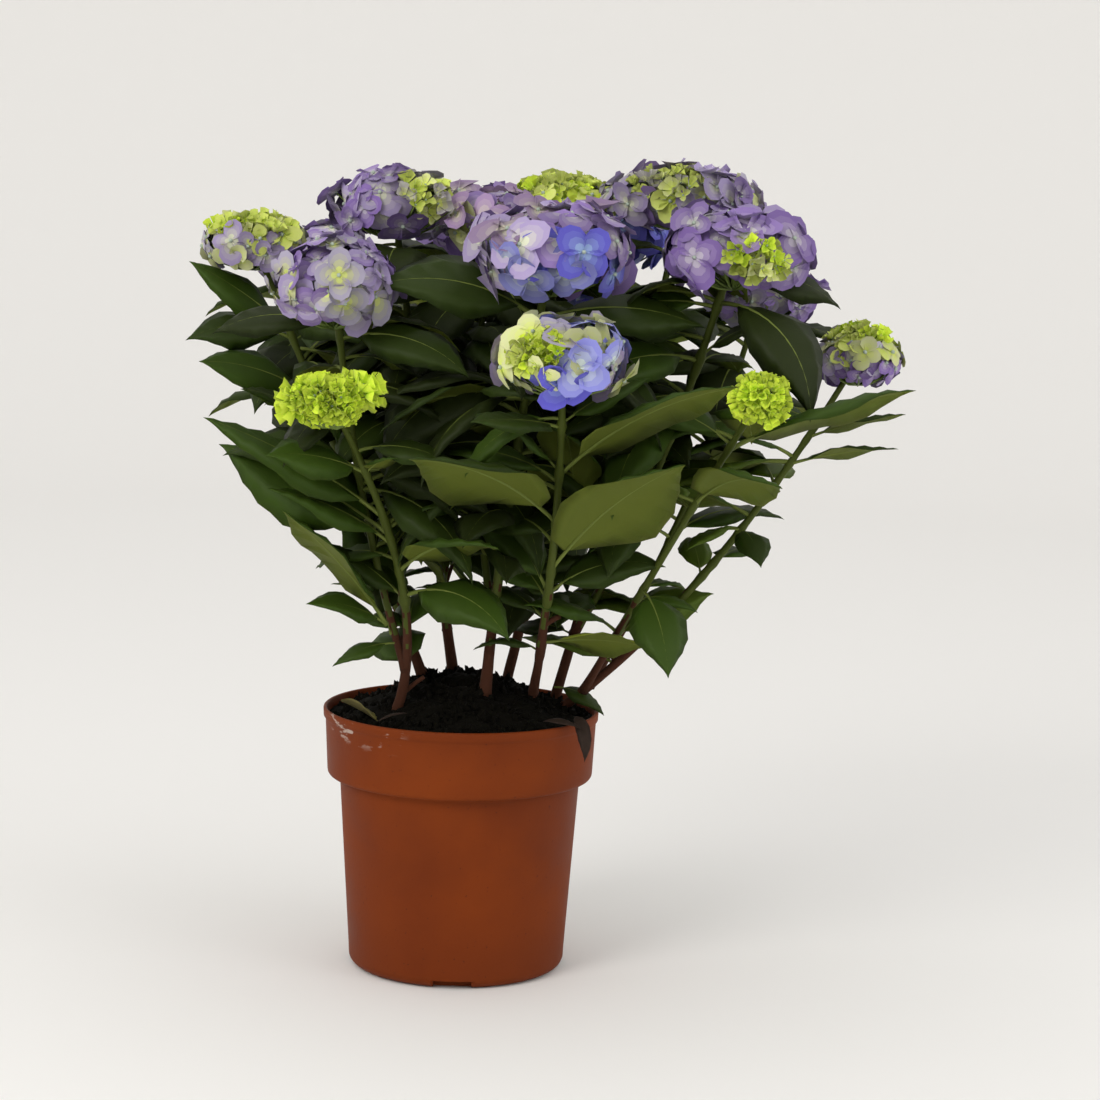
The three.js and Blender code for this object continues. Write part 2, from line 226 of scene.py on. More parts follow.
# The plant's plan. knee is what a limb's curve bends towards; its foot and tip come from the frame. A
# bough's start is a share of the way along its parent. A leaf is (share of the limb, compass turn, length,
# rise at its base, droop to its tip, roll) and its tint if that is fixed: young is a young leaf's own lime,
# and the others are painted shade or painted light on the one upper green; pairs gives that many opposite
# pairs instead, each a quarter turn on from the last.
limbs = {
    "left_front": dict(knee=(-14, -62, 263), thick=(3.7, 2.1), leaves=[
        (0.46, -38, 100, 26, 76, 27), (0.54, -52, 116, 36, 44, -14), (0.7, -178, 134, 38, 20, -12),
        (0.65, 161, 135, 33, 20, -33), (0.62, -158, 96, 40, 32, -11), (0.82, -143, 78, 26, 30, -32),
        (0.82, -57, 44, 38, 40, -5), (0.45, 176, 66, 46, 24, -22), (0.68, 38, 96, 30, 40, 16),
        (0.44, 120, 80, 30, 34, 0)]),
    "left": dict(knee=(-78, 12, 330), thick=(3.8, 2.1), leaves=[
        (0.82, -157, 86, 41, 16, -37), (0.8, -166, 78, 30, 62, -44), (0.67, -143, 100, 34, 34, -40),
        (0.58, -126, 106, 40, 34, -24), (0.86, -42, 96, 14, 54, 22), (0.72, 64, 104, 20, 50, 4),
        (0.48, -70, 88, 26, 50, 7)]),
    "left_mid": dict(knee=(-30, 10, 360), thick=(3.8, 2.1), pairs=5, turn=80, leafLength=108),
    "front": dict(knee=(28, -62, 340), thick=(4.1, 2.4), leaves=[
        (0.86, -168, 116, 38, 56, -39), (0.86, 8, 112, 20, 44, 30), (0.72, -166, 118, 14, 84, -43),
        (0.73, -14, 104, 20, 70, 33), (0.72, 84, 96, 20, 50, 0), (0.58, -150, 108, 22, 66, -31),
        (0.57, 24, 100, 24, 60, 31), (0.44, -110, 84, 20, 60, 0), (0.8, -96, 70, 0, 50, 0)]),
    "front_low": dict(knee=(66, -116, 311), thick=(3.4, 2.1), leaves=[
        (0.69, -30, 144, 44, 34, -16), (0.42, -52, 158, 45, 26, -12), (0.56, -134, 142, 37, 34, 14),
        (0.7, -166, 62, 50, 24, -10), (0.82, -135, 80, 14, 18, -11), (0.83, 19, 66, 38, 24, 9),
        (0.35, 144, 100, 60, 24, -24), (0.33, 124, 72, 39, 24, -11), (0.35, 2, 84, 44, 60, 40),
        (0.56, 44, 96, 26, 44, 14), (0.2, -14, 76, 14, 26, -28, "young"), (0.17, -170, 50, 42, 80, 0)]),
    "right_top": dict(knee=(108, 12, 345), thick=(3.8, 2.1), pairs=5, turn=30, leafLength=108),
    "right_low": dict(knee=(168, -34, 262), thick=(3.5, 2), leaves=[
        (0.83, -17, 70, 25, 18, -13), (0.77, -22, 78, 20, 18, -14), (0.61, -130, 62, 11, 40, 13),
        (0.61, -73, 48, 3, 60, 6), (0.48, 99, 56, 53, 60, 0), (0.86, 150, 74, 26, 34, -9),
        (0.72, 95, 88, 22, 40, 0), (0.52, 60, 80, 18, 40, 0)]),
    "back": dict(knee=(62, 92, 335), thick=(3.8, 2.1), pairs=5, turn=75, leafLength=114),
    "left_high": dict(parent="left_front", start=0.2, knee=(-72, -78, 330), thick=(2.8, 2.1), leaves=[
        (0.9, 173, 88, 26, 60, -34), (0.88, -16, 96, 18, 64, 33), (0.72, -120, 84, 4, 60, -5),
        (0.56, 170, 96, 30, 54, -30), (0.55, -8, 100, 20, 74, 38)]),
    "left_back": dict(parent="left", start=0.2, knee=(-82, 84, 330), thick=(2.8, 2.1),
        pairs=5, turn=160, leafLength=110),
    "mid_back": dict(parent="left_mid", start=0.22, knee=(2, 84, 350), thick=(2.8, 2.1),
        pairs=4, turn=10, leafLength=102),
    "back_left": dict(parent="left_mid", start=0.12, knee=(-26, 130, 290), thick=(2.8, 2),
        pairs=4, turn=125, leafLength=106),
    "centre": dict(parent="front", start=0.2, knee=(-2, -4, 360), thick=(2.8, 2.1),
        pairs=4, turn=100, leafLength=92),
    "right_front": dict(parent="right_top", start=0.16, knee=(134, -62, 345), thick=(3.1, 2.4), leaves=[
        (0.89, -39, 118, 4, 96, 16, "dark"), (0.93, 10, 86, 24, 70, 26), (0.77, -22, 66, 45, 44, 24),
        (0.76, -150, 112, 16, 60, -31), (0.88, 172, 98, 14, 50, -30), (0.74, 70, 104, 20, 50, 0),
        (0.58, 30, 86, 24, 50, 17), (0.6, -126, 84, 18, 60, -12), (0.44, 150, 86, 22, 50, 0)]),
    "mid_top": dict(parent="back", start=0.2, knee=(50, 56, 370), thick=(2.8, 2.1),
        pairs=4, turn=20, leafLength=94),
    "right_bud": dict(parent="right_low", start=0.1, knee=(150, -112, 338), thick=(2.7, 2), leaves=[
        (0.78, 9, 130, 29, 22, -22, "mid"), (0.58, -60, 106, 37, 50, -22), (0.3, -72, 78, -10, 66, 9),
        (0.27, -12, 44, 21, 60, 20), (0.8, 150, 84, 36, 40, -17), (0.56, 120, 84, 28, 44, -5),
        (0.3, 60, 60, 14, 40, 0), (0.17, -150, 80, 42, 50, -17), (0.14, 20, 84, 48, 50, 19)]),
    "right_back": dict(parent="right_low", start=0.12, knee=(164, 84, 310), thick=(2.8, 2),
        pairs=4, turn=35, leafLength=106),
    "back_low": dict(parent="back", start=0.12, knee=(56, 134, 280), thick=(2.8, 2),
        pairs=4, turn=60, leafLength=106),
}
lowLeft = dict(parent="left_front", at=0.2, reach=(-12, -22, 34), leaves=[
    (1, -142, 118, 54, 20, 2), (1, -146, 66, 36, 40, -26), (0.6, -164, 46, 0, 40, -16),
    (0.8, 100, 60, 20, 30, 0)])

rimLeaf = ((64, 2, 195), -12, 42, 4, 62, 10, "deep")  # foot and the rest as for a leaf; it lies over the rim


def kindOf(name):
    return "bough_" if "parent" in limbs[name] else "stem_"


def nodePoints(name):
    co = np.zeros(len(nodes[name].data.vertices) * 3, np.float32)
    nodes[name].data.vertices.foreach_get("co", co)
    return np.unique(co.reshape(-1, 3).round(6), axis=0).astype(float)


footBand = 12  # how far up a stem's lowest ring of points reaches


# the middle of the ring of points that ends a stem below
def footOf(name):
    pts = nodePoints("stem_" + name)
    return pts[pts[:, 2] < pts[:, 2].min() + footBand * mm].mean(0)


# a quadratic Bezier curve: (1 - t)^2 foot + 2 t (1 - t) knee + t^2 tip
class Line:
    def __init__(self, foot, knee, tip):
        self.foot, self.knee, self.tip = (np.array(p, float) for p in (foot, knee, tip))

    def at(self, t):
        t = np.asarray(t, float)[..., None]
        return (1 - t) ** 2 * self.foot + 2 * t * (1 - t) * self.knee + t * t * self.tip

    def along(self, t):
        t = np.asarray(t, float)[..., None]
        return unit((1 - t) * (self.knee - self.foot) + t * (self.tip - self.knee))


lines, domes = {}, {}
for name, limb in limbs.items():
    low, high = (np.array(corner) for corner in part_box("bloom_" + name))
    domes[name] = dict(middle=(low + high) / 2, half=(high - low) / 2)
    foot = lines[limb["parent"]].at(limb["start"]) if "parent" in limb else footOf(name)
    lines[name] = Line(foot, np.array(limb["knee"]) * mm, domes[name]["middle"])
print("limbs:", len(lines))


limbPlan = dict(rows=56, ring=10, flare=1.2, flareFade=0.05, collar=1.35, collarFade=0.03, reach=0.985,
    barkTop=250, barkFade=26, ridgeFrom=270, ridge=0.1, greenRidge=0.12, ridgesAround=3, ridgesUp=90,
    edgeAround=14, edgeUp=10, nodeSwell=0.3, nodeWidth=0.012)
stubPlan = dict(count=9, rows=6, ring=7, length=(9, 26), thick=(1.5, 2.4), taper=0.8, share=(0.1, 0.34),
    rise=(0.5, 1.0))


# a ring of points square to the line at each share: centre + radius (cos side + sin up)
def tube(line, shares, radius, ring, relief=None):
    centre, along = line.at(shares), line.along(shares)
    side = unit(np.cross(np.array([0.0, 1.0, 0.0]), along))
    up = np.cross(side, along)
    turn = turns(ring)
    r = np.broadcast_to(np.asarray(radius)[:, None], (len(shares), ring)).copy()
    if relief is not None:
        r *= 1 + relief(centre[:, None, 2], turn[None, :])
    spread = np.cos(turn)[None, :, None] * side[:, None] + np.sin(turn)[None, :, None] * up[:, None]
    return centre[:, None] + r[..., None] * spread


pairPlan = dict(first=0.4, span=0.5, turn=14, length=(0.9, 1.04), rise=40, riseLoss=18, riseJitter=8,
    droop=66, droopJitter=14, roll=16)


def pairShare(limb, pair):
    return pairPlan["first"] + pairPlan["span"] * pair / (limb["pairs"] - 1)


def leafShares(name):
    limb = limbs[name]
    if "leaves" in limb:
        return sorted({leaf[0] for leaf in limb["leaves"]})
    return [pairShare(limb, pair) for pair in range(limb["pairs"])]


# thick + (thin - thick) t^0.7, swollen at the foot or collar and at each pair of leaves, with upright
# ridges on the old bark that nearly fade out where the shoot is green
def limbSurface(name):
    limb, plan = limbs[name], limbPlan
    shares = np.linspace(0.0, plan["reach"], plan["rows"])
    thick, thin = limb["thick"]
    radius = (thick + (thin - thick) * shares ** 0.7) * mm
    foot = "collar" if "parent" in limb else "flare"
    radius *= 1 + (plan[foot] - 1) * np.exp(-shares / plan[foot + "Fade"])
    for at in leafShares(name):
        radius *= 1 + plan["nodeSwell"] * np.exp(-(((shares - at) / plan["nodeWidth"]) ** 2))
    seed = sum(map(ord, name))

    def relief(z, turn):
        woody = np.clip((plan["ridgeFrom"] * mm - z) / (plan["barkFade"] * mm), plan["greenRidge"], 1)
        around = plan["ridgesAround"]
        return plan["ridge"] * woody * ripple(np.cos(turn) * around, np.sin(turn) * around,
                                              z * plan["ridgesUp"], seed)

    pts = tube(lines[name], shares, radius, plan["ring"], relief)
    height = (pts[:-1, :, 2] + pts[1:, :, 2]) / 2
    turn = np.arange(plan["ring"])[None, :]
    edge = plan["barkTop"] + plan["edgeAround"] * np.sin(turn * 1.9 + seed)
    edge = edge + plan["edgeUp"] * np.sin(height * 400 + seed)
    return pts, np.where(height < edge * mm, 0, 1)


# old twigs cut back to a stub, straight and slightly tapered, on the woody part of a stem
def stubSurface(name):
    line, plan = lines[name], stubPlan
    at = rng.uniform(*plan["share"])
    turn, rise = rng.uniform(0, 2 * np.pi), rng.uniform(*plan["rise"])
    way = np.array([math.cos(turn) * math.cos(rise), math.sin(turn) * math.cos(rise), math.sin(rise)])
    start = line.at(at)
    end = start + way * rng.uniform(*plan["length"]) * mm
    twig = Line(start, (start + end) / 2 + [0, 0, mm], end)
    radius = np.linspace(1, plan["taper"], plan["rows"]) * rng.uniform(*plan["thick"]) * mm
    return tube(twig, np.linspace(0, 1, plan["rows"]), radius, plan["ring"])


barkFinish = finish("bark", (70, 40, 26), 0.9, specular=0.2)
addBump(barkFinish, 900, 0.6, 0.0006, 6)
shootFinish = finish("green shoot", (70, 80, 28), 0.6, 0.05, specular=0.15)
addBump(shootFinish, 1400, 0.25, 0.0003, 2)

for kind, pieceName, slot in (("stem_", "stems", "bark"), ("bough_", "boughs", "green_stem")):
    gather = Gather()
    names = [n for n in limbs if kindOf(n) == kind]
    for name in names:
        pts, slots = limbSurface(name)
        gather.grid(pts, slots, wrap=True, caps=True)
    if kind == "stem_":
        for k in range(stubPlan["count"]):
            gather.grid(stubSurface(names[k % len(names)]), 0, wrap=True, caps=True)
    gather.piece(pieceName, [barkFinish, shootFinish], [kind + n for n in names])


# A leaf is a flattened tube of eight columns. Its rows run forward along the side veins, so every second
# row is a sunken vein. The rows between are the pillows of the blade, and end in the teeth of the margin.
leafPlan = dict(rows=13, stalk=0.14, width=0.53, widths=(0.88, 1.12), sweep=0.75, tooth=0.03, pillow=0.016,
    pillowAt=0.52, thick=0.7, fold=0.17, folds=(0.2, 1.5), recurve=0.3, wave=0.12, rollJitter=7)
acrossTop = np.array([-1, -leafPlan["pillowAt"], 0, leafPlan["pillowAt"], 1])
ringAcross = np.concatenate([acrossTop, acrossTop[-2:0:-1]])
ringSide = np.array([0, 1, 1, 1, 0, -1, -1, -1])
ringSlots = np.array([0] * 4 + [1] * 4)  # upper face, underside
underColumns = (4, 5, 6, 7)  # split like the upper face above them, so that the two never cross


# Where the midline is at share q, and its directions. Its slope falls evenly from rise to rise - droop, so
# the midline is an arc, and the blade turns about it by roll.
def leafFrame(leaf, q):
    turn, rise, droop = (np.radians(leaf[k])[:, None, None] for k in ("turn", "rise", "droop"))
    length = leaf["length"][:, None, None]
    slope = rise - droop * q
    out = length / droop * (np.sin(rise) - np.sin(slope))
    up = length / droop * (np.cos(slope) - np.cos(rise))
    heading = np.stack([np.cos(turn), np.sin(turn), 0 * turn], axis=-1)
    upright = np.array([0, 0, 1.0])
    middle = leaf["foot"][:, None, None] + out[..., None] * heading + up[..., None] * upright
    side = np.stack([-np.sin(turn), np.cos(turn), 0 * turn], axis=-1)
    normal = -np.sin(slope)[..., None] * heading + np.cos(slope)[..., None] * upright
    roll = (np.radians(leaf["roll"])[:, None, None] * np.clip(q * 3, 0, 1))[..., None]
    return middle, side * np.cos(roll) + normal * np.sin(roll), normal * np.cos(roll) - side * np.sin(roll)


# half width = width sin(pi s^0.82)^(0.7 + 0.7 s^2); height = fold |a| - recurve |a| u^2 + pillows + edge
# wave, where u is the share of the way to the margin and a the distance
def leafBlades(leaf):
    plan, rows = leafPlan, leafPlan["rows"]
    t = np.linspace(0, 1, rows)[None, :, None]
    u, face = ringAcross[None, None, :], ringSide[None, None, :]
    odd = (np.arange(rows) % 2)[None, :, None]
    inner = np.sin(np.pi * t) ** 0.5
    s = t + plan["sweep"] * np.abs(u) ** 0.8 * t * (1 - t) * (1 - 0.3 * t)
    s = np.clip(s, 0.004, 0.997) + np.zeros((len(leaf["length"]), 1, 1))
    blade = leaf["length"][:, None, None] * (1 - plan["stalk"])
    half = leaf["width"][:, None, None] * blade / 2 * np.sin(np.pi * s ** 0.82) ** (0.7 + 0.7 * s ** 2)
    half *= 1 + plan["tooth"] * (np.abs(u) == 1) * (odd * 2 - 1) * inner
    a = u * half
    h = leaf["fold"][:, None, None] * np.abs(a) - plan["recurve"] * np.abs(a) * u * u
    h = h + plan["pillow"] * blade * odd * inner * (np.abs(u) == plan["pillowAt"])
    h = h + plan["wave"] * half * u * u * np.sin(8 * s + leaf["phase"][:, None, None] + 2 * np.sign(u))
    h = h + face * plan["thick"] * mm / 2 * inner
    middle, side, normal = leafFrame(leaf, plan["stalk"] + (1 - plan["stalk"]) * s)
    return middle + a[..., None] * side + h[..., None] * normal


ribPlan = dict(shares=[0, 0.07, 0.14, 0.2, 0.28, 0.36, 0.44, 0.52, 0.6, 0.68, 0.76, 0.84, 0.92], thick=1.7,
    taper=1.5, fullAt=100, scale=(0.5, 1.1), sink=0.08)


# The stalk runs on as the midrib: a tube of four sides along the midline, proud of both faces. Its radius
# is thick - taper q^0.7, scaled by the leaf's length over fullAt.
def leafRibs(leaf):
    plan, length = ribPlan, leaf["length"][:, None, None]
    q = np.array(plan["shares"])[None, :, None] + np.zeros((len(length), 1, 4))
    turn = (np.arange(4) * np.pi / 2)[None, None, :]
    radius = (plan["thick"] - plan["taper"] * q ** 0.7) * mm
    radius = radius * np.clip(length / (plan["fullAt"] * mm), *plan["scale"])
    middle, side, normal = leafFrame(leaf, q)
    sink = plan["sink"] * radius * (q > leafPlan["stalk"] * 0.9)
    return (middle + (radius * np.cos(turn))[..., None] * side
            + (radius * np.sin(turn) - sink)[..., None] * normal)


# painted shade and painted light: the one upper leaf green is dealt as shaded copies, dark and deep, on most
# limbs, whose leaves sit under the blooms, and as lit copies, mid and the lightest, on the low outer limbs
# listed here
sprayShading = {  # how the tints are dealt over a limb's leaves
    "left_front": "mid deep mid", "front_low": "mid mid deep", "right_bud": "fresh mid mid",
    "right_low": "fresh mid deep", "left": "deep mid dark", "right_front": "deep dark mid",
}


def shadingOf(name):
    return sprayShading.get(name, "dark dark deep").split()


def ownLeaves(name):
    limb, found = limbs[name], []
    shadingHere = shadingOf(name)
    if "leaves" in limb:
        for leaf in limb["leaves"]:
            dealt = rng.choice(shadingHere)
            found.append((lines[name].at(leaf[0]), *leaf[1:6], leaf[6] if len(leaf) > 6 else dealt))
        return found
    plan = pairPlan
    for pair in range(limb["pairs"]):
        height = pair / (limb["pairs"] - 1)
        # the leaves in the middle of a limb are the longest
        length = limb["leafLength"] * (0.82 + 0.18 * math.sin(math.pi * (0.15 + 0.7 * height)))
        for half in (0, 180):
            turn = limb["turn"] + 90 * pair + half + evenly(plan["turn"])
            found.append((lines[name].at(pairShare(limb, pair)), turn, length * rng.uniform(*plan["length"]),
                          plan["rise"] - plan["riseLoss"] * height + evenly(plan["riseJitter"]),
                          plan["droop"] + evenly(plan["droopJitter"]), evenly(plan["roll"]),
                          rng.choice(shadingHere)))
    return found


# The inner leaves fill the crown between the plan's. Those that head for the front hang more steeply. None
# leaves the crown or crosses an opening (x, z, radius), as seen through the upright plane of the pot's axis.
fillPlan = dict(share=(0.34, 0.93), length=(76, 118), rise=(0, 38), droop=(46, 92), facing=26, roll=24,
    crownX=22, crownRadius=(84, 196), crownFoot=205, crownTop=400, lowest=236,
    counts=dict(left_mid=22, centre=20, front=16, left_high=13, mid_top=14, left=12, right_top=17,
        right_front=14, right_low=5, front_low=6, left_front=6, right_bud=3, back=9, mid_back=12,
        left_back=9, back_left=7, right_back=8, back_low=7),
    openings=[(148, 430, 14), (205, 431, 20), (158, 300, 24), (131, 272, 20), (8, 230, 22), (-12, 224, 20),
        (108, 232, 20)])

lowPlan = dict(fillPlan, share=(0.13, 0.36), length=(48, 84), rise=(10, 44), droop=(30, 66), lowest=214,
    counts=dict(front=6, front_low=5, right_top=6, right_low=3, left_mid=5, back=5, left=4, left_front=2))
checkedShares = np.array([0.3, 0.5, 0.7, 0.85, 1.0])[None, :, None]


def seenAt(pts):
    eye = np.array(cameraPlan["place"])
    return eye + (pts - eye) * (-eye[1] / (pts[..., 1:2] - eye[1]))


def fillLeaves(name, plan):
    found = []
    shadingHere = shadingOf(name)
    while len(found) < plan["counts"].get(name, 0):
        at, turn = rng.uniform(*plan["share"]), rng.uniform(-180, 180)
        front = -math.sin(math.radians(turn))
        length, rise, droop = (rng.uniform(*plan[key]) for key in ("length", "rise", "droop"))
        roll = evenly(plan["roll"])
        tint = rng.choice(shadingHere)
        droop += plan["facing"] * max(front, 0)
        leaf = (lines[name].at(at), turn, length, rise, droop, roll, tint)
        middle = leafFrame(packLeaves([leaf], steady=True), checkedShares)[0].reshape(-1, 3)
        seen = seenAt(middle) / mm
        grow = np.clip((middle[:, 2] / mm - plan["crownFoot"]) / (plan["crownTop"] - plan["crownFoot"]), 0, 1)
        narrow, wide = plan["crownRadius"]
        limit = narrow + (wide - narrow) * grow
        out = np.hypot(middle[:, 0] / mm - plan["crownX"], middle[:, 1] / mm)
        clear = all((np.hypot(seen[:, 0] - x, seen[:, 2] - z) > r).all() for x, z, r in plan["openings"])
        if clear and (out < limit).all() and middle[:, 2].min() > plan["lowest"] * mm:
            found.append(leaf)
    return found


# leaves as arrays; steady leaves out the small differences between one leaf and the next
def packLeaves(listed, steady=False):
    count, plan = len(listed), leafPlan
    foot, turn, length, rise, droop, roll, tint = zip(*listed)
    packed = dict(foot=np.array(foot), turn=np.array(turn, float), length=np.array(length, float) * mm,
                  rise=np.array(rise, float), droop=np.array(droop, float), roll=np.array(roll, float),
                  tint=np.array(tint))
    if not steady:
        packed["roll"] = packed["roll"] + evenly(1, count) * plan["rollJitter"]
        packed["width"] = plan["width"] * rng.uniform(*plan["widths"], count)
        packed["fold"] = plan["fold"] * rng.uniform(*plan["folds"], count)
        packed["phase"] = rng.uniform(0, fullTurn, count)
    return packed


def someOf(leaf, keep):
    return {key: value[keep] for key, value in leaf.items()}


lowStart = lines[lowLeft["parent"]].at(lowLeft["at"])
listed = [leaf for name in limbs for leaf in ownLeaves(name)]
for leaf in lowLeft["leaves"]:
    listed.append((lowStart + leaf[0] * np.array(lowLeft["reach"]) * mm, *leaf[1:], "mid"))
listed.append((np.array(rimLeaf[0]) * mm, *rimLeaf[1:]))
for plan in (fillPlan, lowPlan):
    for name in limbs:
        listed += fillLeaves(name, plan)
everyLeaf = packLeaves(listed)
print("leaves:", len(listed))

underFinish = finish("leaf underside", (90, 100, 34), 0.72, 0.08, specular=0.15)
addBump(underFinish, 700, 0.2, 0.0004, 3)
# dark, deep, mid and the lightest are shaded and lit copies of one leaf green, painted shade and painted
# light; young is a young leaf's own lime green
leafGreensAndShading = {
    "dark": dict(upper=(36, 45, 13), roughness=0.56),
    "deep": dict(upper=(43, 57, 15), roughness=0.56),
    "mid": dict(upper=(53, 73, 19), roughness=0.56),
    "fresh": dict(upper=(74, 92, 26), roughness=0.58),
    "young": dict(upper=(132, 142, 48), roughness=0.6),
}
sprays = list(limbs) + ["low_left"]
for tint, plan in leafGreensAndShading.items():
    upperFinish = finish("leaf upper " + tint, plan["upper"], plan["roughness"], 0.04, specular=0.17)
    addBump(upperFinish, 900, 0.25, 0.0004, 3)
    blades = leafBlades(someOf(everyLeaf, everyLeaf["tint"] == tint))
    replaced = ["foliage_" + n for n in sprays] if tint == "dark" else ()
    addPiece("leaves_" + tint, blades, ringSlots, [upperFinish, underFinish], "foliage", replaced,
             crossed=underColumns)

ribFinish = finish("leaf rib", (108, 120, 56), 0.6, specular=0.15)
addPiece("leaf_stalks", leafRibs(everyLeaf), 0, [ribFinish], "foliage")

# withered leaves: (foot, turn, length, rise, droop, roll, tone). The first lies inside the rim, the second
# hangs over it, and the rest lie on the soil.
witheredPlan = [
    ((-86, -22, 187), -38, 44, -4, 22, -34, "olive"),
    ((76, -50, 186), -66, 44, 8, 120, 20, "brown"),
    ((52, -66, 183), -10, 34, 14, 40, 12, "brown"),
    ((-30, -70, 188), 200, 26, 4, 30, 10, "brown"),
    ((20, 60, 192), 120, 32, 6, 30, 0, "brown"),
]
witheredTones = {
    "olive": dict(upper=(104, 98, 46), under=(120, 112, 66), fold=0.5, width=1),
    "brown": dict(upper=(38, 24, 14), under=(50, 34, 20), fold=0.5, width=0.45),
}
for tone, plan in witheredTones.items():
    some = packLeaves([(np.array(w[0]) * mm, *w[1:]) for w in witheredPlan if w[6] == tone])
    some["fold"] = some["fold"] + plan["fold"]
    some["width"] = some["width"] * plan["width"]
    finishes = [finish("withered " + tone, plan["upper"], 0.8),
                finish("withered under " + tone, plan["under"], 0.85)]
    for mat in finishes:
        addBump(mat, 700, 0.5, 0.0006, 4)
    addPiece("withered_" + tone, leafBlades(some), ringSlots, finishes, "foliage", crossed=underColumns)


# edge and heart colours of a floret
tints = {
    "blue": ((84, 80, 178), (142, 166, 204)),
    "pale_blue": ((122, 124, 190), (190, 202, 190)),
    "violet": ((124, 102, 156), (188, 188, 182)),
    "plum": ((110, 86, 144), (174, 168, 178)),
    "lavender": ((150, 136, 174), (202, 206, 176)),
    "pink": ((146, 122, 158), (200, 196, 174)),
    "turning": ((150, 144, 164), (198, 208, 112)),
    "cream": ((190, 194, 142), (198, 210, 100)),
    "pale_lime": ((190, 200, 104), (180, 196, 74)),
    "lime": ((206, 224, 66), (172, 202, 46)),
}
shades = (0.92, 1.02, 1.13)
# size is a floret's width. mix deals tints over a head, low over its lower edge or within lowReach of
# lowWay, and heart within heartReach of heartWay, which is straight up if it isn't given. buds is the number
# of young florets there, lobes swells the head into lumps, and horns are the ways in which it juts out.
heads = {
    "left": dict(size=28, mix="cream turning lavender", low="cream lavender turning",
        heart="pale_lime cream lime", heartWay=(0, -0.2, 1), heartReach=1.0, buds=54, lobes=0.16),
    "left_high": dict(size=34, mix="violet plum violet lavender turning",
        low="lavender violet turning cream", lobes=0.24, horns=((-0.2, -0.6, -0.75),)),
    "left_mid": dict(size=35, mix="violet plum violet lavender", low="plum violet lavender",
        heart="cream pale_lime turning", heartWay=(0.7, -0.6, 0.4), heartReach=0.75, buds=26),
    "centre": dict(size=33, mix="pink violet pink lavender", low="pink turning cream"),
    "front": dict(size=46, mix="violet pink violet lavender", low="blue blue blue pale_blue",
        lowWay=(0.12, -0.8, -0.6), lowReach=0.98, lobes=0.16),
    "mid_top": dict(size=24, mix="pale_lime cream lime", heart="pale_lime lime pale_lime", heartReach=1.1,
        buds=64, lobes=0.2),
    "right_top": dict(size=38, mix="lavender violet cream turning lavender", low="violet lavender turning",
        heart="cream pale_lime turning", heartWay=(-0.3, -0.7, 0.5), heartReach=0.6, buds=24),
    "right_front": dict(size=42, mix="violet plum lavender violet plum", low="violet plum",
        heart="pale_lime cream lime", heartWay=(0.25, -0.9, -0.1), heartReach=0.44, buds=26, lobes=0.18),
    "front_low": dict(size=37, mix="pale_blue turning cream cream", low="blue cream pale_blue lavender",
        heart="pale_lime lime cream", heartWay=(-0.5, -0.8, 0.3), heartReach=0.46, buds=28, lobes=0.22),
    "left_front": dict(size=20, mix="lime", heart="lime", heartReach=3.2, buds=190, lobes=0.3,
        budSize=(8, 13), budInset=8, horns=((-0.96, 0, -0.1), (0.9, 0, 0.42))),
    "right_bud": dict(size=16, mix="lime", heart="lime", heartReach=3.2, buds=90, lobes=0.3,
        budSize=(8, 14)),
    "right_low": dict(size=24, mix="cream pale_lime turning", low="plum lavender turning",
        heart="pale_lime lime", heartReach=0.8, buds=34, lobes=0.16),
    "left_back": dict(size=37, mix="violet lavender turning"),
    "mid_back": dict(size=39, mix="violet pink plum"),
    "back": dict(size=43, mix="violet blue lavender", low="blue pale_blue"),
    "right_back": dict(size=36, mix="lavender turning violet", heart="lime pale_lime", heartReach=0.6,
        buds=20),
    "back_low": dict(size=38, mix="pale_blue blue lavender"),
    "back_left": dict(size=36, mix="cream pale_lime turning", heart="lime", heartReach=0.7, buds=24),
}
floretPlan = dict(cover=2.5, filled=0.62, lowest=-0.6, budLowest=-0.9, lowEdge=0.12, heartEdge=1.15,
    scatter=0.04, inset=0.15, budInset=5, sizes=(0.7, 1.12), budSize=(9, 15), tilt=0.24,
    layers=(0.0, -0.1, 0.07), lobes=0.12, lobeSize=3.2, hornReach=0.3, hornSize=0.7, hornPower=9, least=4,
    hubDrop=0.75)
sepalPlan = dict(open=dict(rows=5, columns=7, halfAngle=57, tip=0.04, cup=(-0.42, 0.2)),
    young=dict(rows=4, columns=5, halfAngle=42, tip=0.2, cup=(0.5, 1.1)),
    base=0.05, centre=0.53, radius=0.5, long=(0.8, 1.06), wide=(0.88, 1.1), turn=0.14, lift=0.2, wave=0.07,
    step=0.06)


goldenAngle = 2.39996  # radians


# even points on a unit sphere from the top down to height lowest: equal steps of height and golden turns
def spread(count, lowest):
    k = np.arange(count) + 0.5
    z = 1 - k / count * (1 - lowest)
    turn = k * goldenAngle + rng.uniform(0, fullTurn)
    r = np.sqrt(1 - z * z)
    return np.stack([r * np.cos(turn), r * np.sin(turn), z], axis=1)


florets = dict(place=[], way=[], size=[], tint=[], young=[], hub=[])


